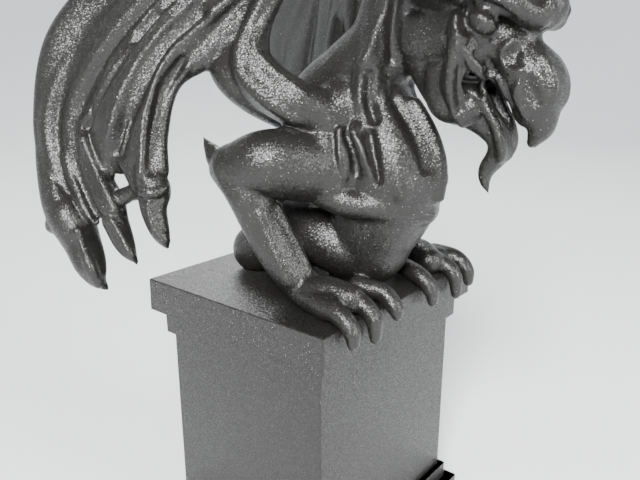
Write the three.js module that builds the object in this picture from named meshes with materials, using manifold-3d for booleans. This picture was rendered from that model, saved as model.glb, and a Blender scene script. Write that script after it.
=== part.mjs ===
// A small printed gargoyle: a beaked, winged beast crouching on a stepped square plinth.
// Millimetres, +Z up. The beast looks along -Y, its right side is -X. The origin is the middle of the
// plinth's underside.
import * as THREE from "three";
import { mergeVertices } from "three/addons/utils/BufferGeometryUtils.js";
import Module from "manifold-3d";

const wasm = await Module();
wasm.setup();

// Plinth: a slab, a step, a plain shaft and a stepped base.
const plinth = {
  width: 42, // slab, along X
  depth: 38, // slab, along Y
  height: 49,
  slab: 5.5, // thickness of the slab
  step: 4.2, // height of the step under it
  stepInset: 1.7,
  shaftInset: 2.7,
  baseStep: 3,
  base: 4.5, // thickness of the base
};
const restGap = 0.2; // between the beast and the slab it sits on

// How finely the limbs are faceted: a ring every so many radii, and more sides on a stouter limb.
const fineness = {
  ringSpacing: 1,
  leastSides: 5,
  sidesPerRadius: 1,
  mostSides: 13,
  sheetRings: 11,
  capTilt: 1, // radians back from a limb's tip to its last ring
  shortestEdge: 0.42,
};

// Every limb is a list of stations [x, y, z, radius]; z is counted from the slab's top.
// These lie on the middle of the body.
const middle = {
  spine: [
    [0, 7, 4.5, 5.6], [0, 0.5, 10.5, 7.2], [0, -0.8, 19, 7.8], [0, -3, 27.5, 7.2], [0, -9, 33, 6.4],
    [0, -13.8, 38, 5.6], [0, -16, 44, 5.2], [0, -19.5, 49.3, 5],
  ],
  belly: [
    [0, -8.5, 30.5, 6.4], [0, -12, 26, 7.6], [0, -15.2, 20, 8.4], [0, -14.8, 15.5, 7.8],
    [0, -12.2, 10, 7.2], [0, -11, 6.2, 6.5], [0, -9, 2.2, 4.8],
  ],
  throat: [[0, -18.2, 45, 3.4], [0, -19.2, 39.8, 3.3], [0, -16.6, 35.6, 2.6]],
  skull: [
    [0, -19.5, 47.2, 5.5], [0, -24.6, 47.3, 6.9], [0, -30, 46.3, 6.6], [0, -33.7, 44.3, 4.7],
    [0, -36.6, 42, 3],
  ],
  face: [[0, -20.5, 38.5, 4.8], [0, -24, 38.6, 4.9], [0, -28.5, 39, 5.8], [0, -32.4, 37.6, 4.2]],
  upperBeak: [
    [0, -31.5, 36.5, 3.4], [0, -34.6, 34.6, 4], [0, -36.6, 32.2, 4], [0, -37, 29.4, 3.1],
    [0, -37.5, 27.3, 1.9], [0, -36.7, 25.4, 0.8],
  ],
  lowerJaw: [
    [0, -21, 36.2, 3.7], [0, -24.8, 30.7, 3.3], [0, -27.7, 29.1, 2.6], [0, -30.2, 27.4, 2],
    [0, -32.1, 25.3, 1.6], [0, -32, 23.3, 1.5], [0, -30.7, 21.3, 1.2], [0, -30.5, 19.6, 0.8],
    [0, -31.2, 17.8, 0.1],
  ],
};
// The trough between the lower jaw's rims is cut out of the head.
const jawTrough = [[0, -28.4, 32.2, 0.8], [0, -31.5, 29.6, 1.1], [0, -33.9, 26.6, 0.8], [0, -34.6, 24, 0.4]];

// These lie on the right side and are mirrored to the left.
const sides = {
  shoulder: [[-3, -9.6, 28.8, 5.5], [-7, -8.1, 27.3, 4.2]],
  haunch: [[-4, 0.2, 9.7, 5.1], [-5.2, 8.7, 3.7, 4.4]],
  thigh: [
    [-4, -10.5, 19.1, 4.6], [-11, -6.3, 20.6, 5.3], [-15.5, -3.5, 21.3, 4.8],
    [-17.3, 0.8, 20.5, 3.6],
  ],
  shank: [
    [-17.8, 2.3, 20, 2.5], [-17.3, -1, 17.2, 3], [-15.6, -3, 12.1, 3.2], [-14.6, -5.8, 7, 3.1],
    [-13.5, -9, 2.5, 2.4],
  ],
  hock: [[-16.6, 0.6, 22, 2.1], [-17.7, 3.4, 21.3, 2], [-18, 5.2, 22.8, 1.1], [-18, 6.8, 24.5, 0.15]],
  instep: [[-13.5, -9, 2.4, 2.5], [-13, -12.8, 2.4, 2.9], [-11.5, -16, 2.2, 2.4]],
  neckCord: [[-3.6, -14.7, 40.8, 2], [-4.2, -14, 35.3, 2.2], [-5, -13.3, 29.3, 2.2]],
  breast: [
    [-3.5, -15, 33.6, 1.2], [-3.6, -15.4, 30.4, 1.3], [-4, -17.2, 26.5, 1.8], [-4.5, -18.8, 22, 2.4],
    [-4.5, -19.8, 18, 2.5],
  ],
  pleatBack: [[-8.2, -11.8, 25.7, 1], [-8.8, -12.9, 22.1, 1.2], [-8.3, -13.3, 18.7, 0.9]],
  pleatFront: [[-7.6, -14, 26.2, 0.9], [-8.1, -15.4, 22.7, 0.9], [-7.6, -16.7, 19.4, 0.6]],
  brow: [
    [-6.3, -26.2, 44.4, 1.5], [-6.3, -30.9, 43.6, 1.7], [-4.9, -34.7, 42.1, 1.8],
    [-2.6, -37, 40.8, 1.7],
  ],
  cheek: [
    [-5, -28.7, 40.4, 2], [-5.2, -28.2, 36.7, 1.8], [-4.3, -27.3, 32.7, 1.8],
    [-2.6, -27.3, 29.6, 1.5],
  ],
  lip: [[-5.2, -28.9, 37.7, 1.3], [-4.6, -30.5, 35.2, 1.1], [-3.4, -31, 33.6, 0.7]],
  eye: [[-5.6, -31.3, 41, 1.4], [-5.6, -31.6, 39.8, 1.4]],
  ear: [
    [-6.4, -22.6, 43.6, 0.7], [-7.2, -21.9, 44.8, 1.1], [-8.5, -20.8, 47.7, 1.3],
    [-10, -19.5, 53, 0.2],
  ],
  jawRim: [
    [-2.5, -29.3, 33, 1.1], [-2.4, -30.9, 30, 0.9], [-2.2, -32.5, 27.5, 0.8], [-1.8, -33.3, 25, 0.8],
    [-1, -33, 23.1, 0.7],
  ],
  jowl: [[-2.2, -24.5, 33.6, 2.6], [-2.2, -25.4, 30.3, 2.8], [-1.8, -28.3, 29.4, 2.2]],
  flank: [[-8.5, -9.1, 23.1, 3.3], [-8.5, -10.1, 18.7, 3.6], [-7, -10.8, 16.5, 3]],
  collar: [[-5.5, -10.9, 30.6, 1.2], [-5.2, -14.2, 27.7, 1.2], [-5, -17.3, 24.7, 1.3]],
  bellyRim: [
    [-9.5, -9.4, 16.5, 2], [-8.5, -13.1, 15.5, 2.1], [-6, -17.2, 15, 2.1], [-3, -20, 13.8, 1.9],
    [0, -21.3, 13.6, 1.8],
  ],
  groin: [[-4.5, 0, 9, 5], [-4.5, -5.5, 8, 4.8], [-3, -9.5, 6.5, 4.8]],
  outerInstep: [[-14.2, -10.5, 2, 2.1], [-15.5, -15.5, 1.7, 2]],
};
// Toes hook over the slab's front edge. Each has its own place across the slab and its own reach down.
const toes = {
  right: [{ x: -16.2, drop: 2.1 }, { x: -10.9, drop: 3 }, { x: -5.3, drop: 1.3 }],
  left: [{ x: 5.2, drop: 2.3 }, { x: 13.2, drop: 3.3 }, { x: 17.6, drop: 2.3 }],
  rootY: -13.8,
  knuckle: { back: 1.2, up: 1.7, radius: 1.5 },
  claw: { out: 1.1, radius: 1.35, tip: 0.9 },
};

// A wing: an arm, a ribbed sheet of folded skin, and three fingers that end in claws.
const wing = {
  arm: [
    [-6.5, -8.3, 27.4, 3.7], [-11, -5.9, 29.5, 3.5], [-12.9, -2, 32, 3.5], [-13.4, 0.7, 35.4, 3.2],
    [-12, 0.8, 40, 2.1], [-10, -0.5, 45.1, 2], [-8.2, -2.5, 49.7, 2], [-7.2, -4.1, 54.5, 1.8],
    [-6.4, -4.6, 57.1, 1.1], [-5.4, -5.8, 59.1, 0.15],
  ],
  elbowFold: [[-11.5, 4, 41.7, 1.5], [-12.5, 5, 37.7, 2.3], [-13, 3.8, 33.9, 2.9]],
  elbowWeb: [
    [-14, 8.2, 35.8, 1.4], [-14, 4.4, 33.3, 2.8], [-12, 1.5, 30.8, 3.2], [-9, -1.7, 28.4, 3.1],
  ],
  outerFinger: [
    [-28.4, 32.6, 24.8, 2.1], [-29.4, 31.3, 19.1, 2.3], [-30.2, 28.3, 13.8, 2.9],
    [-30.2, 25.3, 11.1, 3.5], [-29.9, 23.1, 7.2, 2.9], [-30.3, 20.8, 4.5, 2.5],
    [-30.1, 19.6, 2.3, 1.6], [-29.7, 18.6, 1.2, 0.6],
  ],
  outerKnuckle: [[-30.4, 25.8, 11.6, 2.3], [-32.1, 27.3, 10.2, 1.5]],
  secondFinger: [
    [-26.9, 24.7, 25.9, 1.9], [-27.6, 21.6, 18.8, 2.2], [-27.8, 18.2, 14.5, 2.5],
    [-28, 16.3, 11.7, 2], [-28.1, 14.6, 9.1, 1.7], [-28.2, 13.1, 7.5, 1.2], [-27.9, 12.2, 6.3, 0.5],
  ],
  secondKnuckle: [[-27.5, 17.3, 14.9, 1.6], [-26.8, 15, 15.5, 1.1]],
  innerFinger: [
    [-23.6, 13.2, 25, 1.8], [-25, 11.4, 19.9, 2.1], [-25, 10.3, 17, 2.6], [-25.6, 9.8, 14.3, 2],
    [-25.9, 8.5, 11.7, 1.6], [-25.8, 7.6, 10, 1.1], [-25.7, 7.1, 9.3, 0.5],
  ],
  outerWeb: [
    [-27.9, 26.9, 20.7, 1.7], [-28.5, 24.3, 16.8, 1.7], [-28.9, 21.5, 13.2, 1.4],
    [-29.1, 20.1, 11.5, 0.9],
  ],
  innerWeb: [[-26.9, 16, 15.7, 1.1], [-25.7, 13.4, 16.5, 1.4]],
  spur: [[-26.2, 17.6, 22.5, 0.8], [-26.3, 14.9, 20.2, 0.9], [-26.2, 12.4, 17.3, 1.1]],
};
// The sheet hangs on rails that fan from the wrist; it swells to each rail's radius and thins between them.
const sheetRails = [
  [
    [-7.2, -3.6, 55.8, 1.3], [-11.2, 7.6, 55.1, 1.9], [-17.7, 24, 48.6, 2.5],
    [-24.7, 31.7, 38.6, 2.8], [-28.1, 33.1, 26.1, 2.4], [-29.8, 29.9, 15.1, 2],
  ],
  [
    [-7.6, -3.6, 54.9, 1.3], [-14.5, 8.8, 49.1, 1.9], [-21.1, 19, 39.3, 2.6], [-24.8, 25, 30.1, 2.5],
    [-27.2, 24.7, 22.2, 2], [-27.6, 19.2, 15.3, 1.5],
  ],
  [
    [-7.8, -3.5, 53.9, 1.1], [-13.7, 7.2, 47.7, 1.8], [-18.1, 12.2, 41.3, 1.9],
    [-22.4, 17, 35.1, 1.8], [-25.6, 19.3, 28.1, 1.5], [-26.6, 18.1, 22.7, 1.1],
  ],
  [
    [-7.9, -3.6, 52.9, 1.1], [-11.2, 2.8, 46.2, 1.5], [-17, 9.1, 39.6, 1.9], [-21.1, 12.9, 33.2, 2],
    [-23.6, 12.7, 26.1, 2], [-24.9, 11.7, 20.4, 2],
  ],
  [
    [-7.8, -3.7, 51.8, 1], [-10.4, 1.2, 44.8, 1.3], [-15.1, 7.2, 36.5, 1.5], [-19.1, 11.5, 32, 1.1],
    [-21.7, 11.5, 25, 0.9], [-23.6, 9.7, 19.6, 1.1],
  ],
];
const sheet = { webHalf: 0.7, shoulderShare: 0.24, shoulderSwell: 0.66 };

const mirrored = (stations) => stations.map(([x, ...rest]) => [-x, ...rest]);

// A smooth curve through the stations, and another that carries their radii.
function course(stations) {
  const smooth = (points) => new THREE.CatmullRomCurve3(points, false, "catmullrom", 0.5);
  return {
    middle: smooth(stations.map(([x, y, z]) => new THREE.Vector3(x, y, z))),
    girth: smooth(stations.map(([, , , radius]) => new THREE.Vector3(radius, 0, 0))),
  };
}

// A closed skin over a row of sections, each a ring of points; both ends are drawn together to a point.
function loft(sections) {
  const sideCount = sections[0].length;
  const centre = (ring) => ring.reduce((sum, point) => sum.add(point), new THREE.Vector3()).divideScalar(sideCount);
  const poles = [sections[0], sections.at(-1)].map((ring) => Array(sideCount).fill(centre(ring)));
  const rows = [poles[0], ...sections, poles[1]];
  const geometry = new THREE.SphereGeometry(1, sideCount, rows.length - 1);
  const position = geometry.getAttribute("position");
  rows.forEach((ring, row) => {
    for (let column = 0; column <= sideCount; column++) {
      const { x, y, z } = ring[column % sideCount];
      position.setXYZ(row * (sideCount + 1) + column, x, y, z);
    }
  });
  return geometry;
}

// A round limb along its stations, with rounded ends.
function limb(stations) {
  const { middle, girth } = course(stations);
  const stoutest = Math.max(...stations.map(([, , , radius]) => radius));
  const { ringSpacing, leastSides, sidesPerRadius, mostSides } = fineness;
  const sideCount = Math.min(mostSides, Math.round(leastSides + sidesPerRadius * stoutest));
  const spans = stations.length - 1;
  const steps = spans * Math.max(1, Math.round(middle.getLength() / (spans * ringSpacing * stoutest)));
  const ringAt = (u, tilt = 0) => {
    const radius = Math.max(girth.getPoint(u).x, 0.05);
    const along = middle.getTangent(u);
    const thin = new THREE.Vector3(1, 0, 0).addScaledVector(along, -along.x).normalize(); // no limb runs along X
    const wide = along.clone().cross(thin);
    const centre = middle.getPoint(u).addScaledVector(along, radius * Math.sin(tilt));
    return Array.from({ length: sideCount }, (_, side) => {
      const turn = (2 * Math.PI * side) / sideCount;
      return centre
        .clone()
        .addScaledVector(wide, radius * Math.cos(tilt) * Math.cos(turn))
        .addScaledVector(thin, radius * Math.cos(tilt) * Math.sin(turn));
    });
  };
  const rings = [ringAt(0, -fineness.capTilt)];
  for (let step = 0; step <= steps; step++) rings.push(ringAt(step / steps));
  rings.push(ringAt(1, fineness.capTilt));
  return loft(rings);
}

// The ribbed sheet: at every ring the section runs along the rails' outer side and back along their inner side.
function ribbedSheet(rails) {
  const courses = rails.map(course);
  const sectionAt = (share) => {
    const points = courses.map(({ middle }) => middle.getPoint(share));
    const radii = courses.map(({ girth }) => girth.getPoint(share).x);
    const across = points.map((_, k) =>
      points[Math.min(k + 1, points.length - 1)].clone().sub(points[Math.max(k - 1, 0)]).normalize(),
    );
    const face = courses.map(({ middle }, k) => middle.getTangent(share).cross(across[k]).normalize());
    const stops = [];
    points.forEach((point, k) => {
      stops.push({ point, face: face[k], half: radii[k] });
      if (k === points.length - 1) return;
      const between = (part, half) => ({
        point: point.clone().lerp(points[k + 1], part),
        face: face[k].clone().lerp(face[k + 1], part).normalize(),
        half,
      });
      const swell = (radius) => Math.max(sheet.webHalf, radius * sheet.shoulderSwell);
      stops.push(between(sheet.shoulderShare, swell(radii[k])));
      stops.push(between(0.5, sheet.webHalf));
      stops.push(between(1 - sheet.shoulderShare, swell(radii[k + 1])));
    });
    const last = points.length - 1;
    const ring = [points[0].clone().addScaledVector(across[0], -radii[0])];
    for (const { point, face: out, half } of stops) ring.push(point.clone().addScaledVector(out, half));
    ring.push(points[last].clone().addScaledVector(across[last], radii[last]));
    for (const { point, face: out, half } of stops.reverse()) ring.push(point.clone().addScaledVector(out, -half));
    return ring;
  };
  const sections = [];
  for (let ring = 0; ring <= fineness.sheetRings; ring++) sections.push(sectionAt(ring / fineness.sheetRings));
  return loft(sections);
}

// One toe: out of the foot, over a knuckle and down the slab's front face.
function toe({ x, drop }) {
  const edge = -plinth.depth / 2;
  const { knuckle, claw } = toes;
  return [
    [x * 0.85 + Math.sign(x) * 1.9, toes.rootY, 2.2, 1.6],
    [x, edge + knuckle.back, knuckle.up, knuckle.radius],
    [x, edge - claw.out, -0.2, claw.radius],
    [x * 1.01, edge - claw.out - 0.4, -drop, claw.tip],
  ];
}

// A box given by its lowest and highest corner.
function box([x0, y0, z0], [x1, y1, z1]) {
  return new THREE.BoxGeometry(x1 - x0, y1 - y0, z1 - z0).translate((x0 + x1) / 2, (y0 + y1) / 2, (z0 + z1) / 2);
}

// A geometry as a solid that can be joined and cut.
function solid(geometry) {
  const bare = geometry.clone();
  bare.deleteAttribute("normal");
  bare.deleteAttribute("uv");
  const merged = mergeVertices(bare, 1e-4);
  return new wasm.Manifold(
    new wasm.Mesh({
      numProp: 3,
      vertProperties: merged.getAttribute("position").array,
      triVerts: new Uint32Array(merged.index.array),
    }),
  );
}

const join = (geometries) => geometries.map(solid).reduce((whole, piece) => whole.add(piece));

// The largest body of a solid: pockets that limbs close off between them are filled.
const outerBody = (whole) =>
  whole.decompose().reduce((largest, body) => (body.volume() > largest.volume() ? body : largest));

// Where limbs run through each other their facets cross in slivers: every edge shorter than `shortest` is
// drawn together into its middle, unless that would pinch the skin or fold a facet over.
function drawShortEdgesTogether(points, facets, shortest) {
  const around = points.map(() => new Set());
  facets.forEach((facet, index) => facet.forEach((corner) => around[corner].add(index)));
  const neighbours = (corner) => new Set([...around[corner]].flatMap((index) => facets[index]));
  const normalOf = (facet) => {
    const [a, b, c] = facet.map((corner) => points[corner]);
    return b.clone().sub(a).cross(c.clone().sub(a));
  };
  const isFree = (kept, dropped, place) => {
    const common = [...neighbours(kept)].filter((corner) => neighbours(dropped).has(corner));
    if (common.length !== 4) return false; // the edge's own two ends and the two corners facing it
    const moved = [...around[kept], ...around[dropped]].filter(
      (index) => !(facets[index].includes(kept) && facets[index].includes(dropped)),
    );
    const before = moved.map((index) => normalOf(facets[index]));
    const [first, second] = [points[kept].clone(), points[dropped].clone()];
    points[kept].copy(place);
    points[dropped].copy(place);
    const fits = moved.every((index, i) => {
      const after = normalOf(facets[index]);
      return after.length() > 1e-3 && (before[i].length() < 2e-2 || after.angleTo(before[i]) < 0.9);
    });
    points[kept].copy(first);
    points[dropped].copy(second);
    return fits;
  };
  for (let changed = true; changed; ) {
    changed = false;
    for (let index = 0; index < facets.length; index++) {
      for (let side = 0; side < 3 && facets[index]; side++) {
        const [kept, dropped] = [facets[index][side], facets[index][(side + 1) % 3]];
        if (points[kept].distanceTo(points[dropped]) >= shortest) continue;
        const place = points[kept].clone().lerp(points[dropped], 0.5);
        if (!isFree(kept, dropped, place)) continue;
        points[kept].copy(place);
        for (const other of around[dropped]) {
          if (facets[other].includes(kept)) {
            facets[other].forEach((corner) => corner !== dropped && around[corner].delete(other));
            facets[other] = null;
          } else {
            facets[other] = facets[other].map((corner) => (corner === dropped ? kept : corner));
            around[kept].add(other);
          }
        }
        around[dropped].clear();
        changed = true;
      }
    }
  }
  return facets.filter((facet) => facet);
}

// The skin of a joined solid, with flat facets.
function geometryOf(whole) {
  const { numProp, vertProperties, triVerts } = whole.getMesh();
  const points = [];
  for (let i = 0; i < vertProperties.length; i += numProp) {
    points.push(new THREE.Vector3(vertProperties[i], vertProperties[i + 1], vertProperties[i + 2]));
  }
  const facets = [];
  for (let i = 0; i < triVerts.length; i += 3) facets.push([...triVerts.subarray(i, i + 3)]);
  const kept = drawShortEdgesTogether(points, facets, fineness.shortestEdge);
  const geometry = new THREE.BufferGeometry().setFromPoints(points);
  geometry.setIndex(kept.flat());
  geometry.computeVertexNormals();
  return geometry;
}

function plinthSolid() {
  const { width, depth, height, slab, step, stepInset, shaftInset, baseStep, base } = plinth;
  const layer = (inset, low, high) =>
    box([inset - width / 2, inset - depth / 2, low], [width / 2 - inset, depth / 2 - inset, high]);
  return join([
    layer(0, 0, base),
    layer(stepInset, base - 1, base + baseStep),
    layer(shaftInset, base, height - slab),
    layer(stepInset, height - slab - step, height - slab + 1),
    layer(0, height - slab, height),
  ]);
}

function beastSolid() {
  const geometries = Object.values(middle).map(limb);
  for (const side of [(stations) => stations, mirrored]) {
    for (const stations of Object.values(sides)) geometries.push(limb(side(stations)));
    for (const stations of Object.values(wing)) geometries.push(limb(side(stations)));
    geometries.push(ribbedSheet(sheetRails.map(side)));
  }
  for (const place of [...toes.right, ...toes.left]) geometries.push(limb(toe(place)));
  const seat = box(
    [-plinth.width / 2 - restGap, -plinth.depth / 2 - restGap, -plinth.height],
    [plinth.width / 2 + restGap, plinth.depth / 2 + restGap, restGap],
  );
  return outerBody(join(geometries).subtract(solid(limb(jawTrough))).subtract(solid(seat)));
}

const charcoal = new THREE.MeshStandardMaterial({ color: 0x3b3a38, roughness: 0.38, metalness: 0.15 });

const plinthMesh = new THREE.Mesh(geometryOf(plinthSolid()), charcoal.clone());
plinthMesh.name = "plinth";

const gargoyleMesh = new THREE.Mesh(geometryOf(beastSolid()), charcoal.clone());
gargoyleMesh.name = "gargoyle";
gargoyleMesh.position.z = plinth.height;

const gargoyleOnPlinth = new THREE.Group();
gargoyleOnPlinth.name = "gargoyleOnPlinth";
gargoyleOnPlinth.add(plinthMesh, gargoyleMesh);

export default gargoyleOnPlinth;
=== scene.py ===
# A printed gargoyle on its plinth: the beast is built up from limbs, fused, smoothed and carved.
import math

import bmesh
import bpy
import numpy as np
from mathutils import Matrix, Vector


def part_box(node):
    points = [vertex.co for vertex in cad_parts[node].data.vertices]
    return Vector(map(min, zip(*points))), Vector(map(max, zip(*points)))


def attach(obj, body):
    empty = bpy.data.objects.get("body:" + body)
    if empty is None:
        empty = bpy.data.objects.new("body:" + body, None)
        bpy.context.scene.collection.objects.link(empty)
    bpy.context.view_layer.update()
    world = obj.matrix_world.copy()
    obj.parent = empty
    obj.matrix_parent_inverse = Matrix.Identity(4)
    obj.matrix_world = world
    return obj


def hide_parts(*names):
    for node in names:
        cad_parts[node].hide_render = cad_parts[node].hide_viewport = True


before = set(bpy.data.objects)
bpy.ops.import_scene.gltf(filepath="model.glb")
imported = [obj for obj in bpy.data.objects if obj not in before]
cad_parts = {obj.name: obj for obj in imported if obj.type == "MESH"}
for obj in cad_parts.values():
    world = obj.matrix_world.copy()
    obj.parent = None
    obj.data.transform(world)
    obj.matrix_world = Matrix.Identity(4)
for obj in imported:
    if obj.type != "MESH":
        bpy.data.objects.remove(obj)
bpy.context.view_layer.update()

mm = 0.001
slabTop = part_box("plinth")[1].z

# Limbs are lists of stations [x, y, z, radius] in millimetres; z is counted from the slab's top.
# These lie on the middle of the body.
middleLimbs = {
    "spine": [
        [0, 7, 4.5, 5.6], [0, 0.5, 10.5, 7.2], [0, -0.8, 19, 7.8], [0, -3, 27.5, 7.2],
        [0, -9, 33, 6.4], [0, -13.8, 38, 5.6], [0, -16, 44, 5.2], [0, -19.5, 49.3, 5],
    ],
    "belly": [
        [0, -8.5, 30.5, 6.4], [0, -12, 26, 7.6], [0, -15.2, 20, 8.4], [0, -14.8, 15.5, 7.8],
        [0, -12.2, 10, 7.2], [0, -11, 6.2, 6.5], [0, -9, 2.2, 4.8],
    ],
    "throat": [[0, -18.2, 45, 3.4], [0, -19.2, 39.8, 3.3], [0, -16.6, 35.6, 2.6]],
    "skull": [
        [0, -19.5, 47.2, 5.5], [0, -24.6, 47.3, 6.9], [0, -30, 46.3, 6.6], [0, -33.7, 44.3, 4.7],
        [0, -36.6, 42, 3],
    ],
    "face": [[0, -20.5, 38.5, 4.8], [0, -24, 38.6, 4.9], [0, -28.5, 39, 5.8], [0, -32.4, 37.6, 4.2]],
    "upperBeak": [
        [0, -31.5, 36.5, 3.4], [0, -34.6, 34.6, 4], [0, -36.6, 32.2, 4], [0, -37, 29.4, 3.1],
        [0, -37.5, 27.3, 1.9], [0, -36.7, 25.4, 0.8],
    ],
    "lowerJaw": [
        [0, -21, 36.2, 3.7], [0, -24.8, 30.7, 3.3], [0, -27.7, 29.1, 2.6], [0, -30.2, 27.4, 2],
        [0, -32.1, 25.3, 1.6], [0, -32, 23.3, 1.5], [0, -30.7, 21.3, 1.2], [0, -30.5, 19.6, 0.8],
        [0, -31.2, 17.8, 0.1],
    ],
}
# These lie on the right side and are mirrored to the left.
sideLimbs = {
    "shoulder": [[-3, -9.6, 28.8, 5.5], [-7, -8.1, 27.3, 4.2]],
    "haunch": [[-4, 0.2, 9.7, 5.1], [-5.2, 8.7, 3.7, 4.4]],
    "thigh": [
        [-4, -10.5, 19.1, 4.6], [-11, -6.3, 20.6, 5.3], [-15.5, -3.5, 21.3, 4.8],
        [-17.3, 0.8, 20.5, 3.6],
    ],
    "shank": [
        [-17.8, 2.3, 20, 2.5], [-17.3, -1, 17.2, 3], [-15.6, -3, 12.1, 3.2], [-14.6, -5.8, 7, 3.1],
        [-13.5, -9, 2.5, 2.4],
    ],
    "hock": [
        [-16.6, 0.6, 22, 2.1], [-17.7, 3.4, 21.3, 2], [-18, 5.2, 22.8, 1.1], [-18, 6.8, 24.5, 0.15],
    ],
    "instep": [[-13.5, -9, 2.4, 2.5], [-13, -12.8, 2.4, 2.9], [-11.5, -16, 2.2, 2.4]],
    "neckCord": [[-3.6, -14.7, 40.8, 2], [-4.2, -14, 35.3, 2.2], [-5, -13.3, 29.3, 2.2]],
    "breast": [
        [-3.5, -15, 33.6, 1.2], [-3.6, -15.4, 30.4, 1.3], [-4, -17.2, 26.5, 1.8],
        [-4.5, -18.8, 22, 2.4], [-4.5, -19.8, 18, 2.5],
    ],
    "pleatBack": [[-8.2, -11.8, 25.7, 1], [-8.8, -12.9, 22.1, 1.2], [-8.3, -13.3, 18.7, 0.9]],
    "pleatFront": [[-7.6, -14, 26.2, 0.9], [-8.1, -15.4, 22.7, 0.9], [-7.6, -16.7, 19.4, 0.6]],
    "brow": [
        [-6.3, -26.2, 44.4, 1.5], [-6.3, -30.9, 43.6, 1.7], [-4.9, -34.7, 42.1, 1.8],
        [-2.6, -37, 40.8, 1.7],
    ],
    "cheek": [
        [-5, -28.7, 40.4, 2], [-5.2, -28.2, 36.7, 1.8], [-4.3, -27.3, 32.7, 1.8],
        [-2.6, -27.3, 29.6, 1.5],
    ],
    "lip": [[-5.2, -28.9, 37.7, 1.3], [-4.6, -30.5, 35.2, 1.1], [-3.4, -31, 33.6, 0.7]],
    "eye": [[-5.6, -31.3, 41, 1.4], [-5.6, -31.6, 39.8, 1.4]],
    "ear": [
        [-6.4, -22.6, 43.6, 0.7], [-7.2, -21.9, 44.8, 1.1], [-8.5, -20.8, 47.7, 1.3],
        [-10, -19.5, 53, 0.2],
    ],
    "wingArm": [
        [-6.5, -8.3, 27.4, 3.7], [-11, -5.9, 29.5, 3.5], [-12.9, -2, 32, 3.5], [-13.4, 0.7, 35.4, 3.2],
        [-12, 0.8, 40, 2.1], [-10, -0.5, 45.1, 2], [-8.2, -2.5, 49.7, 2], [-7.2, -4.1, 54.5, 1.8],
        [-6.4, -4.6, 57.1, 1.1], [-5.4, -5.8, 59.1, 0.15],
    ],
    "outerFinger": [
        [-28.4, 32.6, 24.8, 2.1], [-29.4, 31.3, 19.1, 2.3], [-30.2, 28.3, 13.8, 2.9],
        [-30.2, 25.3, 11.1, 3.5], [-29.9, 23.1, 7.2, 2.9], [-30.3, 20.8, 4.5, 2.5],
        [-30.1, 19.6, 2.3, 1.6], [-29.7, 18.6, 1.2, 0.6],
    ],
    "secondFinger": [
        [-26.9, 24.7, 25.9, 1.9], [-27.6, 21.6, 18.8, 2.2], [-27.8, 18.2, 14.5, 2.5],
        [-28, 16.3, 11.7, 2], [-28.1, 14.6, 9.1, 1.7], [-28.2, 13.1, 7.5, 1.2],
        [-27.9, 12.2, 6.3, 0.5],
    ],
    "innerFinger": [
        [-23.6, 13.2, 25, 1.8], [-25, 11.4, 19.9, 2.1], [-25, 10.3, 17, 2.6], [-25.6, 9.8, 14.3, 2],
        [-25.9, 8.5, 11.7, 1.6], [-25.8, 7.6, 10, 1.1], [-25.7, 7.1, 9.3, 0.5],
    ],
    "wingSpur": [[-26.2, 17.6, 22.5, 0.8], [-26.3, 14.9, 20.2, 0.9], [-26.2, 12.4, 17.3, 1.1]],
    "jawRim": [
        [-2.5, -29.3, 33, 1.1], [-2.4, -30.9, 30, 0.9], [-2.2, -32.5, 27.5, 0.8],
        [-1.8, -33.3, 25, 0.8], [-1, -33, 23.1, 0.7],
    ],
    "jowl": [[-2.2, -24.5, 33.6, 2.6], [-2.2, -25.4, 30.3, 2.8], [-1.8, -28.3, 29.4, 2.2]],
    "flank": [[-8.5, -9.1, 23.1, 3.3], [-8.5, -10.1, 18.7, 3.6], [-7, -10.8, 16.5, 3]],
    "collar": [[-5.5, -10.9, 30.6, 1.2], [-5.2, -14.2, 27.7, 1.2], [-5, -17.3, 24.7, 1.3]],
    "elbowWeb": [
        [-14, 8.2, 35.8, 1.4], [-14, 4.4, 33.3, 2.8], [-12, 1.5, 30.8, 3.2], [-9, -1.7, 28.4, 3.1],
    ],
    "outerKnuckle": [[-30.4, 25.8, 11.6, 2.3], [-32.1, 27.3, 10.2, 1.5]],
    "secondKnuckle": [[-27.5, 17.3, 14.9, 1.6], [-26.8, 15, 15.5, 1.1]],
    "outerWeb": [
        [-27.9, 26.9, 20.7, 1.7], [-28.5, 24.3, 16.8, 1.7], [-28.9, 21.5, 13.2, 1.4],
        [-29.1, 20.1, 11.5, 0.9],
    ],
    "innerWeb": [[-26.9, 16, 15.7, 1.1], [-25.7, 13.4, 16.5, 1.4]],
    "bellyRim": [
        [-9.5, -9.4, 16.5, 2], [-8.5, -13.1, 15.5, 2.1], [-6, -17.2, 15, 2.1], [-3, -20, 13.8, 1.9],
        [0, -21.3, 13.6, 1.8],
    ],
    "groin": [[-4.5, 0, 9, 5], [-4.5, -5.5, 8, 4.8], [-3, -9.5, 6.5, 4.8]],
    "elbowFold": [[-11.5, 4, 41.7, 1.5], [-12.5, 5, 37.7, 2.3], [-13, 3.8, 33.9, 2.9]],
    "outerInstep": [[-14.2, -10.5, 2, 2.1], [-15.5, -15.5, 1.7, 2]],
}
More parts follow.
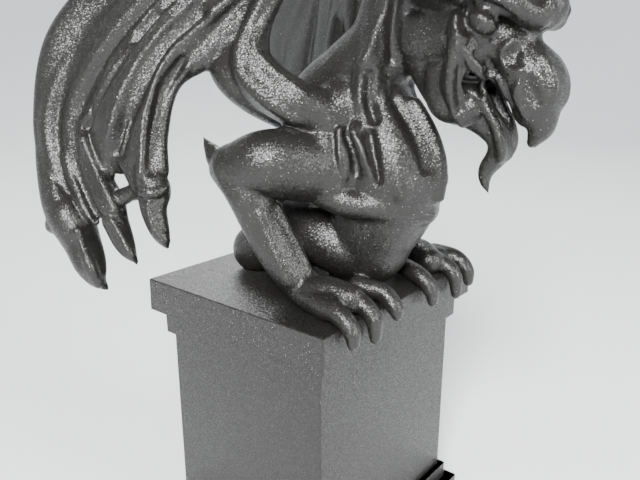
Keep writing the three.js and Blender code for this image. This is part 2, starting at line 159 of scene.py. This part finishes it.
# The wing's sheet hangs on rails that fan from the wrist, from the outermost to the innermost.
sheetRails = [
    [
        [-7.2, -3.6, 55.8, 1.3], [-11.2, 7.6, 55.1, 1.9], [-17.7, 24, 48.6, 2.5],
        [-24.7, 31.7, 38.6, 2.8], [-28.1, 33.1, 26.1, 2.4], [-29.8, 29.9, 15.1, 2],
    ],
    [
        [-7.6, -3.6, 54.9, 1.3], [-14.5, 8.8, 49.1, 1.9], [-21.1, 19, 39.3, 2.6],
        [-24.8, 25, 30.1, 2.5], [-27.2, 24.7, 22.2, 2], [-27.6, 19.2, 15.3, 1.5],
    ],
    [
        [-7.8, -3.5, 53.9, 1.1], [-13.7, 7.2, 47.7, 1.8], [-18.1, 12.2, 41.3, 1.9],
        [-22.4, 17, 35.1, 1.8], [-25.6, 19.3, 28.1, 1.5], [-26.6, 18.1, 22.7, 1.1],
    ],
    [
        [-7.9, -3.6, 52.9, 1.1], [-11.2, 2.8, 46.2, 1.5], [-17, 9.1, 39.6, 1.9],
        [-21.1, 12.9, 33.2, 2], [-23.6, 12.7, 26.1, 2], [-24.9, 11.7, 20.4, 2],
    ],
    [
        [-7.8, -3.7, 51.8, 1], [-10.4, 1.2, 44.8, 1.3], [-15.1, 7.2, 36.5, 1.5],
        [-19.1, 11.5, 32, 1.1], [-21.7, 11.5, 25, 0.9], [-23.6, 9.7, 19.6, 1.1],
    ],
]
toes = {
    # place across the slab and reach down its front
    "places": [(-16.2, 2.1), (-10.9, 3), (-5.3, 1.3), (5.2, 2.3), (13.2, 3.3), (17.6, 2.3)],
    "rootShare": 0.85, "rootOut": 1.9, "rootY": -13.8, "rootUp": 2.2, "rootRadius": 1.6,
    "edge": -19, "knuckleBack": 1.2, "knuckleUp": 1.7, "knuckleRadius": 1.5,
    "clawOut": 1.1, "clawUp": -0.2, "clawRadius": 1.35, "tipSpread": 1.01, "tipOut": 0.4, "clawTip": 0.9,
}
build = {
    "sides": 24, "capRings": 5, "ringSpacing": 0.5,  # of a limb; spacing in millimetres
    "leastRings": 6, "leastRadius": 0.05, "lengthSamples": 40,
    "sheetColumns": 96, "sheetRings": 90, "sheetCapColumns": 6, "webHalf": 0.7, "webSwell": 0.66,
    "voxel": 0.3, "smoothFactor": 0.5, "smoothing": 7, "triangles": 196000,
}


# Strokes carve the fused skin, on both sides: each runs along a path near it, to the half millimetre,
# and raises or sinks the nearest skin.
strokes = {
    # the wing's outer face
    "ribOuter": {"lift": 0.5, "width": 2, "path": [
        [-17.5, 12, 48.5], [-22, 22.5, 42], [-27, 29, 33], [-30, 30.5, 25], [-31.5, 26.5, 15.5]]},
    "valleyOuter": {"lift": -1.2, "width": 2.4, "path": [
        [-19.5, 12.5, 45], [-23.5, 18, 39], [-27.5, 24.5, 28.5], [-29.5, 24, 20], [-30, 19, 13]]},
    "ribSecond": {"lift": 0.5, "width": 1.8, "path": [
        [-19, 12.5, 44], [-24.5, 18.5, 35], [-27.5, 23, 27]]},
    "lineSecond": {"lift": 0.6, "width": 1.2, "path": [
        [-28.5, 22.5, 24], [-28.5, 18.5, 18], [-28.5, 15, 13.5]]},
    "valleySecond": {"lift": -0.7, "width": 1, "path": [
        [-20, 13.5, 42], [-25.5, 18.5, 33], [-27.5, 22.5, 25.5]]},
    "ribThird": {"lift": 0.45, "width": 1.3, "path": [
        [-15, 7, 48.5], [-17, 8.5, 43.5], [-21, 12.5, 38.5], [-25, 16, 31.5], [-27.5, 17.5, 24.5]]},
    "valleyThird": {"lift": -1.2, "width": 2, "path": [
        [-17, 7.5, 42], [-21.5, 11.5, 36], [-26, 15, 26], [-27, 16, 22.5]]},
    "ribFourth": {"lift": 0.5, "width": 1.2, "path": [
        [-12.5, 2, 46], [-16.5, 6, 41.5], [-21, 10.5, 36.5], [-24.5, 11.5, 28.5], [-27, 10.5, 20]]},
    "valleyFourth": {"lift": -0.5, "width": 1.1, "path": [
        [-19, 9.5, 35.5], [-23, 11, 28], [-26, 9.5, 20]]},
    "hem": {"lift": 0.3, "width": 0.9, "path": [[-18.5, 9, 34.5], [-21.5, 11, 27], [-24, 9, 20.5]]},
    # its claws
    "clawOuter": {"lift": 0.7, "width": 1.1, "path": [
        [-31.5, 21.5, 10], [-31.5, 19.5, 6], [-30.5, 18.5, 2]]},
    "clawOuterSide": {"lift": -0.4, "width": 1.2, "path": [[-29.5, 20.5, 8], [-30, 18.5, 3.5]]},
    "clawSecond": {"lift": 0.5, "width": 0.8, "path": [
        [-29.5, 15.5, 13], [-29, 13.5, 10], [-28.5, 12, 7]]},
    "clawInner": {"lift": 0.5, "width": 0.8, "path": [[-27, 9, 15.5], [-27.5, 8, 12.5], [-26, 7, 10]]},
    "ledgeSecond": {"lift": -0.4, "width": 0.5, "path": [
        [-30, 17, 13], [-29, 15.5, 13], [-27, 15, 13]]},
    "ledgeInner": {"lift": -0.4, "width": 0.5, "path": [
        [-27.5, 10.5, 16], [-27, 8.5, 16], [-25.5, 8, 16]]},
    "knuckleInner": {"lift": 0.45, "width": 1, "path": [
        [-27.5, 10, 17], [-26.5, 8, 17], [-24.5, 8, 17.5]]},
    # brow, eye and forehead
    "underBrow": {"lift": -0.8, "width": 1.2, "path": [
        [-7, -26, 43], [-7.5, -29, 42.5], [-7, -33, 41.5], [-5.5, -34.5, 40.5]]},
    "eyeSocket": {"lift": -0.7, "width": 0.9, "path": [
        [-7, -29.5, 41.5], [-6.5, -29.5, 40], [-6, -30.5, 39], [-5.5, -32.5, 38.5]]},
    "eyeBall": {"lift": 1, "width": 1.5, "path": [[-6.5, -31.5, 41], [-6.5, -32, 40]]},
    "eyeLid": {"lift": 0.6, "width": 0.7, "path": [
        [-7, -28.5, 41], [-7, -28.5, 39.5], [-6.5, -29.5, 38]]},
    "foreheadRidge": {"lift": 0.6, "width": 1, "path": [
        [-2, -33.5, 49.5], [-2, -36, 46.5], [-2, -37.5, 43.5], [-2.5, -38, 41.5]]},
    "foreheadDip": {"lift": -0.4, "width": 1.6, "path": [
        [-4.5, -33.5, 47.5], [-4.5, -35.5, 45], [-4, -37, 42.5]]},
    # cheek, jaw and beak
    "cheekBack": {"lift": 0.6, "width": 1, "path": [
        [-7, -28.5, 38.5], [-6.5, -28, 35], [-5.5, -27.5, 32], [-4, -27.5, 29.5], [-2.5, -28, 28]]},
    "cheekFront": {"lift": 0.5, "width": 0.8, "path": [
        [-7, -29, 37.5], [-5.5, -30, 35.5], [-4.5, -31, 33.5]]},
    "cheekHollow": {"lift": -0.5, "width": 0.9, "path": [
        [-6.5, -29, 34.5], [-5.5, -28.5, 32], [-4, -28, 29.5]]},
    "cheekMark": {"lift": -0.4, "width": 0.8, "path": [[-5.5, -26, 38.5], [-6.5, -27, 36]]},
    "mouthCorner": {"lift": -1.5, "width": 1.2, "path": [[-4.5, -30, 33], [-3.5, -30.5, 32]]},
    "nostril": {"lift": 0.5, "width": 0.7, "path": [
        [-3.5, -34.5, 38], [-4, -33.5, 37], [-4, -33.5, 35.5], [-4, -34.5, 34.5], [-4, -36, 34.5]]},
    "nostrilHollow": {"lift": -0.5, "width": 1, "path": [[-3.5, -35, 36.5], [-4, -35, 35.5]]},
    "beakRidge": {"lift": 0.25, "width": 0.9, "path": [
        [-2, -38, 36], [-2, -39.5, 33.5], [-2, -39.5, 31]]},
    "beakHollow": {"lift": -0.7, "width": 1.4, "path": [[-4, -37, 33], [-3.5, -38, 31]]},
    "beakEdge": {"lift": 0.4, "width": 0.7, "path": [
        [-4, -36, 33], [-3.5, -35.5, 31.5], [-3, -36.5, 29]]},
    "lipLine": {"lift": -0.9, "width": 0.9, "path": [
        [-5.5, -31, 36.5], [-4, -31.5, 35], [-3.5, -33.5, 32.5], [-2.5, -34, 30]]},
    "jawGroove": {"lift": -1, "width": 1.3, "path": [
        [-4.5, -18, 43.5], [-4.5, -17.5, 39], [-4, -17.5, 35.5]]},
    "earHollow": {"lift": -0.7, "width": 0.8, "path": [[-9.5, -21.5, 48.5], [-8.5, -22.5, 44.5]]},
    # body and legs
    "pleatDark": {"lift": -1.2, "width": 1.2, "path": [
        [-7, -16, 25.5], [-8, -17.5, 22], [-8, -18, 19.5]]},
    "pleatBackRidge": {"lift": 0.5, "width": 0.8, "path": [
        [-9, -12, 26], [-10, -13, 22.5], [-9.5, -13.5, 19.5]]},
    "pleatFrontRidge": {"lift": 0.5, "width": 0.7, "path": [
        [-8.5, -14, 26], [-8.5, -16, 23], [-8.5, -17.5, 19.5]]},
    "pleatCut": {"lift": -0.6, "width": 0.8, "path": [
        [-8.5, -13, 25.5], [-8.5, -14.5, 22.5], [-8.5, -15, 20]]},
    "chestHollow": {"lift": -0.9, "width": 1.3, "path": [
        [-6, -15, 33.5], [-6, -15, 30.5], [-6, -16, 27.5]]},
    "keel": {"lift": 0.5, "width": 1.3, "path": [
        [0, -17.5, 28.5], [0, -20.5, 25], [0, -22.5, 20.5], [0, -23, 16.5]]},
    "keelHollow": {"lift": -0.9, "width": 1.6, "path": [
        [-2.5, -16.5, 29.5], [-2.5, -19.5, 25.5], [-2.5, -22, 21]]},
    "shankBack": {"lift": 0.4, "width": 1.4, "path": [
        [-17.5, -4.5, 14], [-17, -6.5, 9], [-16, -8.5, 4.5]]},
    "shankFront": {"lift": 0.6, "width": 1.2, "path": [
        [-14.5, -4.5, 14.5], [-13.5, -7, 9.5], [-13, -10.5, 5]]},
    "neckRidge": {"lift": 0.5, "width": 1.3, "path": [
        [-5.5, -16, 40.5], [-6, -15, 37], [-6.5, -14, 35]]},
    "armOuter": {"lift": 0.5, "width": 1.3, "path": [
        [-11, -2, 47], [-14, 0.5, 40.5], [-16.5, 0.5, 36], [-16.5, -1, 32.5], [-13, -7.5, 27.5]]},
    "armInner": {"lift": 0.4, "width": 1, "path": [
        [-8.5, -4, 47.5], [-12.5, -1, 40.5], [-14.5, -1.5, 37], [-13.5, -6.5, 33], [-12.5, -8.5, 31]]},
}
# reach: how far off the skin a path may lie; sampleGap: how often the path is read
carving = {"reach": 2.2, "sampleGap": 0.25, "settle": 2, "outOfReach": 1e6}


def mirrored(stations):
    return [[-x, *rest] for x, *rest in stations]


def course(stations, shares):
    # a smooth curve through the stations, read at shares from 0 to 1; the radius goes with it
    points = np.array(stations, float)
    points = np.vstack([2 * points[0] - points[1], points, 2 * points[-1] - points[-2]])
    along = np.clip(np.asarray(shares, float) * (len(stations) - 1), 0, len(stations) - 1 - 1e-9)
    span = along.astype(int)
    t = (along - span)[:, None]
    a, b, c, d = (points[span + k] for k in range(4))
    return (2 * b + (c - a) * t + (2 * a - 5 * b + 4 * c - d) * t**2 + (3 * (b - c) + d - a) * t**3) / 2


def unit(vectors):
    return vectors / np.maximum(np.linalg.norm(vectors, axis=-1, keepdims=True), 1e-9)


def wrapSphere(bm, rings):
    # rings: one closed row of points after another; a sphere of as many rows is drawn over them
    rows, columns = rings.shape[0] - 1, rings.shape[1]
    sphere = bmesh.ops.create_uvsphere(bm, u_segments=columns, v_segments=rows, radius=1)
    for vert in sphere["verts"]:
        row = round(math.acos(max(-1, min(1, vert.co.z))) / math.pi * rows)
        column = round(math.atan2(vert.co.y, vert.co.x) / math.tau * columns) % columns
        vert.co = rings[row, column]


def addLimb(bm, stations):
    samples = course(stations, np.linspace(0, 1, build["lengthSamples"]))
    length = np.linalg.norm(np.diff(samples, axis=0)[:, :3], axis=1).sum()
    rowCount = max(build["leastRings"], round(length / build["ringSpacing"]))
    shares = np.linspace(0, 1, rowCount)
    middle = course(stations, shares)
    along = unit(np.gradient(middle[:, :3], axis=0))
    cap = np.linspace(-1, 1, 2 * build["capRings"] + 1) * math.pi / 2
    tilt = np.concatenate([cap[: build["capRings"]], np.zeros(rowCount), cap[build["capRings"] + 1:]])
    row = np.clip(np.arange(len(tilt)) - build["capRings"], 0, rowCount - 1)
    radius = np.maximum(middle[row, 3], build["leastRadius"])
    middle, along = middle[row, :3], along[row]
    thin = unit(np.array([1, 0, 0]) - along * along[:, :1])
    wide = np.cross(along, thin)
    turn = np.arange(build["sides"]) * math.tau / build["sides"]
    centre = middle + along * (radius * np.sin(tilt))[:, None]
    spread = (radius * np.cos(tilt))[:, None, None]
    ring = np.cos(turn)[None, :, None] * wide[:, None] + np.sin(turn)[None, :, None] * thin[:, None]
    wrapSphere(bm, (centre[:, None] + spread * ring) * mm)


def addSheet(bm, rails):
    # the skin runs over the rails' outer side and back under them; it swells at each rail
    rows, half = build["sheetRings"], build["sheetColumns"] // 2
    capColumns = build["sheetCapColumns"]
    tracks = np.array([course(rail, np.linspace(0, 1, rows)) for rail in rails])  # rail, row, xyzr
    rings = []
    for row in range(rows):
        across = np.linspace(0, 1, half - 2 * capColumns)
        line = course(tracks[:, row], across)
        points, radii = line[:, :3], line[:, 3]
        sideways = unit(np.gradient(points, axis=0))
        onward = tracks[:, min(row + 1, rows - 1), :3] - tracks[:, max(row - 1, 0), :3]
        onward = unit(course(np.hstack([onward, tracks[:, row, 3:]]), across)[:, :3])
        face = unit(np.cross(onward, sideways))
        phase = across * (len(rails) - 1)
        swell = np.abs(np.cos(math.pi * phase)) ** build["webSwell"]
        web = build["webHalf"]
        thick = web + np.maximum(radii - web, 0) * swell
        tip = np.linspace(0, math.pi / 2, capColumns + 1)[:-1]
        first = points[0] - sideways[0] * (radii[0] * np.cos(tip))[:, None]
        last = points[-1] + sideways[-1] * (radii[-1] * np.cos(tip[::-1]))[:, None]
        centre = np.vstack([first, points, last])
        out = np.vstack([np.repeat(face[:1], capColumns, 0), face, np.repeat(face[-1:], capColumns, 0)])
        reach = np.concatenate([radii[0] * np.sin(tip), thick, radii[-1] * np.sin(tip[::-1])])
        over, under = centre + out * reach[:, None], centre - out * reach[:, None]
        rings.append(np.vstack([over, under[::-1]]))
    rings = np.array(rings)
    closing = [np.repeat(ring.mean(axis=0)[None], ring.shape[0], 0) for ring in (rings[0], rings[-1])]
    wrapSphere(bm, np.concatenate([closing[:1], rings, closing[1:]]) * mm)


def toeStations(across, drop):
    edge = toes["edge"]
    root = across * toes["rootShare"] + math.copysign(toes["rootOut"], across)
    return [
        [root, toes["rootY"], toes["rootUp"], toes["rootRadius"]],
        [across, edge + toes["knuckleBack"], toes["knuckleUp"], toes["knuckleRadius"]],
        [across, edge - toes["clawOut"], toes["clawUp"], toes["clawRadius"]],
        [across * toes["tipSpread"], edge - toes["clawOut"] - toes["tipOut"], -drop, toes["clawTip"]],
    ]


def finished(bm, name):
    # a bmesh in the slab-top frame becomes an object of the shared frame
    for vert in bm.verts:
        vert.co.z += slabTop
    mesh = bpy.data.meshes.new(name)
    bm.to_mesh(mesh)
    bm.free()
    piece = bpy.data.objects.new(name, mesh)
    bpy.context.scene.collection.objects.link(piece)
    return piece


def applyModifiers(piece):
    evaluated = piece.evaluated_get(bpy.context.evaluated_depsgraph_get())
    mesh = bpy.data.meshes.new_from_object(evaluated)
    mesh.name = piece.name
    piece.modifiers.clear()
    old, piece.data = piece.data, mesh
    bpy.data.meshes.remove(old)


def carve(points, normals, stroke, flip):
    path = np.array(mirrored(stroke["path"]) if flip else stroke["path"], float)
    length = np.linalg.norm(np.diff(path, axis=0), axis=1).sum()
    shares = np.linspace(0, 1, 2 + int(length / carving["sampleGap"]))
    track = course(np.hstack([path, path[:, :1]]), shares)[:, :3]  # the fourth column only fills a radius's place
    margin = stroke["width"] + carving["reach"]
    near = np.all((points > track.min(axis=0) - margin) & (points < track.max(axis=0) + margin), axis=1)
    near = np.nonzero(near)[0]
    away = points[near, None] - track[None]
    rise = np.einsum("vsc,vc->vs", away, normals[near])
    beside = np.einsum("vsc,vsc->vs", away, away) - rise**2
    beside[np.abs(rise) > carving["reach"]] = carving["outOfReach"]
    share = np.clip(1 - beside.min(axis=1) / stroke["width"] ** 2, 0, 1)
    points[near] += normals[near] * (stroke["lift"] * share**2)[:, None]


def readPoints(mesh):
    points, normals = (np.empty(3 * len(mesh.vertices)) for _ in range(2))
    mesh.vertices.foreach_get("co", points)
    mesh.vertices.foreach_get("normal", normals)
    return points.reshape(-1, 3) / mm - (0, 0, slabTop / mm), normals.reshape(-1, 3)


def writePoints(mesh, points):
    mesh.vertices.foreach_set("co", ((points + (0, 0, slabTop / mm)) * mm).ravel())
    mesh.update()


seat = {"gap": 0.2, "halfWidth": 21, "front": -19}


def seatOnSlab(points):
    # what would sink into the slab is brought to its nearest face, a hair clear of it
    inside = (points[:, 2] < seat["gap"]) & (np.abs(points[:, 0]) < seat["halfWidth"] + seat["gap"])
    inside &= points[:, 1] > seat["front"] - seat["gap"]
    up = seat["gap"] - points[:, 2]
    out = points[:, 1] - (seat["front"] - seat["gap"])
    lifted = inside & (up <= out)
    points[lifted, 2] = seat["gap"]
    pushed = inside & (up > out)
    points[pushed, 1] = seat["front"] - seat["gap"]


def fitInside(points, low, high):
    # the finished skin keeps to the solids' box
    for axis in range(3):
        points[:, axis] = np.clip(points[:, axis], low[axis], high[axis])


def buildBeast():
    bm = bmesh.new()
    for stations in middleLimbs.values():
        addLimb(bm, stations)
    for side in (list, mirrored):
        for stations in sideLimbs.values():
            addLimb(bm, side(stations))
        addSheet(bm, [side(rail) for rail in sheetRails])
    for across, drop in toes["places"]:
        addLimb(bm, toeStations(across, drop))
    beast = finished(bm, "gargoyleFigure")
    print("limbs:", len(beast.data.vertices))
    remesh = beast.modifiers.new("fuse", "REMESH")
    remesh.mode, remesh.voxel_size = "VOXEL", build["voxel"] * mm
    smooth = beast.modifiers.new("blend", "SMOOTH")
    smooth.factor, smooth.iterations = build["smoothFactor"], build["smoothing"]
    applyModifiers(beast)
    print("fused:", len(beast.data.polygons))
    points, normals = readPoints(beast.data)
    for stroke in strokes.values():
        for flip in (False, True):
            carve(points, normals, stroke, flip)
    writePoints(beast.data, points)
    smooth = beast.modifiers.new("settle", "SMOOTH")
    smooth.factor, smooth.iterations = build["smoothFactor"], carving["settle"]
    thin = beast.modifiers.new("thin", "DECIMATE")
    thin.ratio = min(1, build["triangles"] / (2 * len(beast.data.polygons)))
    applyModifiers(beast)
    points, normals = readPoints(beast.data)
    seatOnSlab(points)
    low, high = (np.array(corner) / mm - (0, 0, slabTop / mm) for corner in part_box("gargoyle"))
    fitInside(points, low, high)
    writePoints(beast.data, points)
    print("carved:", len(beast.data.polygons))
    return beast


plinth = {
    "width": 42, "depth": 38, "edge": 0.22, "edgeSteps": 3, "sharpAngle": 0.5,
    "base": 4.5, "baseStep": 7.5, "stepInset": 1.7, "shaftInset": 2.7,
    "slab": slabTop / mm - 5.5, "slabStep": slabTop / mm - 9.7, "top": slabTop / mm,  # heights
}
levels = [  # inset and height, from the underside up
    (0, 0), (0, plinth["base"]), (plinth["stepInset"], plinth["base"]),
    (plinth["stepInset"], plinth["baseStep"]), (plinth["shaftInset"], plinth["baseStep"]),
    (plinth["shaftInset"], plinth["slabStep"]), (plinth["stepInset"], plinth["slabStep"]),
    (plinth["stepInset"], plinth["slab"]), (0, plinth["slab"]), (0, plinth["top"]),
]


def buildPlinth():
    # one closed block, drawn up from its underside level by level
    bm = bmesh.new()
    bmesh.ops.create_grid(bm, x_segments=1, y_segments=1, size=1)
    level = bm.faces[:]
    for count, (inset, height) in enumerate(levels):
        if count:
            drawn = bmesh.ops.extrude_face_region(bm, geom=level, use_keep_orig=count == 1)["geom"]
            level = [item for item in drawn if isinstance(item, bmesh.types.BMFace)]
        for vert in {vert for face in level for vert in face.verts}:
            x, y = plinth["width"] / 2 - inset, plinth["depth"] / 2 - inset
            vert.co = (math.copysign(x, vert.co.x) * mm, math.copysign(y, vert.co.y) * mm, height * mm)
    bmesh.ops.recalc_face_normals(bm, faces=bm.faces)
    sharp = [edge for edge in bm.edges if edge.calc_face_angle(0) > plinth["sharpAngle"]]
    bmesh.ops.bevel(
        bm, geom=sharp, offset=plinth["edge"] * mm, offset_type="OFFSET", affect="EDGES",
        segments=plinth["edgeSteps"], profile=0.5, material=-1,
    )
    mesh = bpy.data.meshes.new("plinthBlock")
    bm.to_mesh(mesh)
    bm.free()
    block = bpy.data.objects.new("plinthBlock", mesh)
    bpy.context.scene.collection.objects.link(block)
    return block


plastic = {
    "body": (0.008, 0.0077, 0.007, 1), "flake": (0.7, 0.68, 0.62, 1), "roughness": 0.32, "specular": 0.36,
    "grainSize": 0.13, "grainLean": 0.42,
    "flakeGap": 0.42, "flakeRadius": 0.11, "flakeContrast": 2.5,
    "layerHeight": 0.2, "layerDepth": 0.006, "layerNoise": 1.3, "layerNoiseDetail": 4,
}


def makeGroup(name, inputs, outputs):
    group = bpy.data.node_groups.new(name, "ShaderNodeTree")
    for direction, sockets in (("INPUT", inputs), ("OUTPUT", outputs)):
        for label, kind in sockets.items():
            group.interface.new_socket(label, in_out=direction, socket_type="NodeSocket" + kind)
    return group, group.nodes.new("NodeGroupInput").outputs, group.nodes.new("NodeGroupOutput").inputs


def mathNode(tree, operation, *values, vector=False):
    node = tree.nodes.new("ShaderNodeVectorMath" if vector else "ShaderNodeMath")
    node.operation = operation
    for socket, value in zip(node.inputs, values):
        if isinstance(value, bpy.types.NodeSocket):
            tree.links.new(value, socket)
        else:
            socket.default_value = value
    return node.outputs[0]


def cellNode(tree, vector, size):
    cells = tree.nodes.new("ShaderNodeTexVoronoi")
    tree.links.new(vector, cells.inputs["Vector"])
    tree.links.new(mathNode(tree, "DIVIDE", 1.0, size), cells.inputs["Scale"])
    return cells


def leanNode(tree, normal, colour, amount):
    # turns a normal a little, another way in every cell
    lean = mathNode(tree, "SUBTRACT", colour, (0.5, 0.5, 0.5), vector=True)
    scaled = tree.nodes.new("ShaderNodeVectorMath")
    scaled.operation = "SCALE"
    tree.links.new(lean, scaled.inputs[0])
    tree.links.new(amount, scaled.inputs["Scale"])
    leaning = mathNode(tree, "ADD", normal, scaled.outputs[0], vector=True)
    return mathNode(tree, "NORMALIZE", leaning, vector=True)


def grainGroup():
    # the dense fine flakes just under the skin, each leaning its own way
    inputs = {"Vector": "Vector", "Normal": "Vector", "Size": "Float", "Lean": "Float"}
    group, given, result = makeGroup("grain", inputs, {"Normal": "Vector"})
    inMm = mathNode(group, "DIVIDE", given["Vector"], (mm, mm, mm), vector=True)
    cells = cellNode(group, inMm, given["Size"])
    leaning = leanNode(group, given["Normal"], cells.outputs["Color"], given["Lean"])
    group.links.new(leaning, result["Normal"])
    return group


def flakeGroup():
    # sparse bright flakes: a small disc in some of the cells, most of them faint
    inputs = {"Vector": "Vector", "Gap": "Float", "Radius": "Float"}
    group, given, result = makeGroup("flakes", inputs, {"Mask": "Float"})
    inMm = mathNode(group, "DIVIDE", given["Vector"], (mm, mm, mm), vector=True)
    cells = cellNode(group, inMm, given["Gap"])
    parts = group.nodes.new("ShaderNodeSeparateColor")
    group.links.new(cells.outputs["Color"], parts.inputs["Color"])
    disc = mathNode(group, "LESS_THAN", cells.outputs["Distance"], given["Radius"])
    bright = mathNode(group, "POWER", parts.outputs["Red"], plastic["flakeContrast"])
    group.links.new(mathNode(group, "MULTIPLY", disc, bright), result["Mask"])
    return group


def layerGroup():
    # fine level lines left by the print's layers, a little uneven
    inputs = {"Vector": "Vector", "Spacing": "Float"}
    group, given, result = makeGroup("layers", inputs, {"Height": "Float"})
    inMm = mathNode(group, "DIVIDE", given["Vector"], (mm, mm, mm), vector=True)
    split = group.nodes.new("ShaderNodeSeparateXYZ")
    group.links.new(inMm, split.inputs["Vector"])
    turns = mathNode(group, "DIVIDE", split.outputs["Z"], given["Spacing"])
    wave = mathNode(group, "SINE", mathNode(group, "MULTIPLY", turns, math.tau))
    noise = group.nodes.new("ShaderNodeTexNoise")
    noise.inputs["Scale"].default_value = plastic["layerNoise"]
    noise.inputs["Detail"].default_value = plastic["layerNoiseDetail"]
    group.links.new(inMm, noise.inputs["Vector"])
    group.links.new(mathNode(group, "MULTIPLY", wave, noise.outputs["Fac"]), result["Height"])
    return group


def placeGroup(tree, group, values):
    node = tree.nodes.new("ShaderNodeGroup")
    node.node_tree = group
    for label, value in values.items():
        if isinstance(value, bpy.types.NodeSocket):
            tree.links.new(value, node.inputs[label])
        else:
            node.inputs[label].default_value = value
    return node.outputs


def plasticMaterial(name, facts):
    material = bpy.data.materials.new(name)
    material.use_nodes = True
    tree = material.node_tree
    shader = tree.nodes["Principled BSDF"]
    place = tree.nodes.new("ShaderNodeTexCoord").outputs["Object"]
    lines = placeGroup(tree, layers, {"Vector": place, "Spacing": facts["layerHeight"]})
    bump = tree.nodes.new("ShaderNodeBump")
    bump.inputs["Distance"].default_value = facts["layerDepth"] * mm
    tree.links.new(lines["Height"], bump.inputs["Height"])
    leaning = placeGroup(tree, grain, {
        "Vector": place, "Normal": bump.outputs["Normal"],
        "Size": facts["grainSize"], "Lean": facts["grainLean"],
    })
    tree.links.new(leaning["Normal"], shader.inputs["Normal"])
    specks = placeGroup(tree, flakes, {
        "Vector": place, "Gap": facts["flakeGap"], "Radius": facts["flakeRadius"],
    })
    colour = tree.nodes.new("ShaderNodeMix")
    colour.data_type = "RGBA"
    colour.inputs["A"].default_value, colour.inputs["B"].default_value = facts["body"], facts["flake"]
    tree.links.new(specks["Mask"], colour.inputs["Factor"])
    tree.links.new(colour.outputs["Result"], shader.inputs["Base Color"])
    tree.links.new(specks["Mask"], shader.inputs["Metallic"])
    shader.inputs["Roughness"].default_value = facts["roughness"]
    shader.inputs["Specular IOR Level"].default_value = facts["specular"]
    return material


grain, flakes, layers = grainGroup(), flakeGroup(), layerGroup()
print("materials made")

beast = buildBeast()
beast.data.polygons.foreach_set("use_smooth", [True] * len(beast.data.polygons))
beast.data.materials.append(plasticMaterial("gargoylePlastic", plastic))
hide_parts("gargoyle")
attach(beast, "root")

block = buildPlinth()
block.data.materials.append(plasticMaterial("plinthPlastic", plastic))
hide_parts("plinth")
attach(block, "root")
print("pieces made")

studio = {
    "radius": 1.1, "sweep": 0.5, "sweepSteps": 12, "height": 1.2, "sides": 72,
    "tone": (0.78, 0.79, 0.8, 1), "roughness": 0.9, "air": (0.85, 0.88, 0.92, 1), "airStrength": 0.25,
}


def buildFloor():
    # a round pale floor that sweeps up into a wall
    bm = bmesh.new()
    flat, steps = studio["radius"] - studio["sweep"], studio["sweepSteps"]
    profile = [(0, 0), (flat, 0)]
    profile += [
        (flat + studio["sweep"] * math.sin(turn), studio["sweep"] * (1 - math.cos(turn)))
        for turn in (math.pi / 2 * step / steps for step in range(1, steps + 1))
    ]
    profile.append((studio["radius"], studio["height"]))
    verts = [bm.verts.new((across, 0, height)) for across, height in profile]
    edges = [bm.edges.new(pair) for pair in zip(verts, verts[1:])]
    bmesh.ops.spin(
        bm, geom=verts + edges, cent=(0, 0, 0), axis=(0, 0, 1), angle=math.tau,
        steps=studio["sides"], use_merge=True,
    )
    bmesh.ops.remove_doubles(bm, verts=bm.verts, dist=1e-5)
    bmesh.ops.recalc_face_normals(bm, faces=bm.faces)
    mesh = bpy.data.meshes.new("floor")
    bm.to_mesh(mesh)
    bm.free()
    mesh.polygons.foreach_set("use_smooth", [True] * len(mesh.polygons))
    material = bpy.data.materials.new("paleFloor")
    material.use_nodes = True
    shader = material.node_tree.nodes["Principled BSDF"]
    shader.inputs["Base Color"].default_value = studio["tone"]
    shader.inputs["Roughness"].default_value = studio["roughness"]
    mesh.materials.append(material)
    floor = bpy.data.objects.new("floor", mesh)
    bpy.context.scene.collection.objects.link(floor)
    return floor


buildFloor()
print("floor made")

camera = bpy.data.cameras.new("camera")
camera.lens, camera.sensor_width = 36.2, 36
camera.clip_start = 0.005
eye = bpy.data.objects.new("camera", camera)
bpy.context.scene.collection.objects.link(eye)
eye.location = (-0.08182, -0.06849, 0.08544)
turnLeft, pitchDown = math.radians(39.46), math.radians(16.14)
ahead = math.cos(pitchDown)
look = Vector((math.cos(turnLeft) * ahead, math.sin(turnLeft) * ahead, -math.sin(pitchDown)))
eye.rotation_mode = "QUATERNION"
eye.rotation_quaternion = look.to_track_quat("-Z", "Y")
bpy.context.scene.camera = eye

aim = Vector((0, 0, 0.06))  # the lights point at the beast
lights = {
    "key": {"at": (-0.46, -0.24, 0.42), "size": (0.16, 0.24), "power": 15},
    "front": {"at": (0.1, -0.62, 0.3), "size": (0.25, 0.4), "power": 6},
    "back": {"at": (0.4, 0.45, 0.5), "size": (0.3, 0.3), "power": 3},
}
for name, light in lights.items():
    lamp = bpy.data.lights.new(name, "AREA")
    lamp.shape, lamp.energy = "RECTANGLE", light["power"]
    lamp.size, lamp.size_y = light["size"]
    holder = bpy.data.objects.new(name, lamp)
    bpy.context.scene.collection.objects.link(holder)
    holder.location = light["at"]
    holder.rotation_mode = "QUATERNION"
    holder.rotation_quaternion = (aim - Vector(light["at"])).to_track_quat("-Z", "Y")
world = bpy.data.worlds.new("studio")
bpy.context.scene.world = world
world.use_nodes = True
world.node_tree.nodes["Background"].inputs["Color"].default_value = studio["air"]
world.node_tree.nodes["Background"].inputs["Strength"].default_value = studio["airStrength"]

print("camera and lights set")
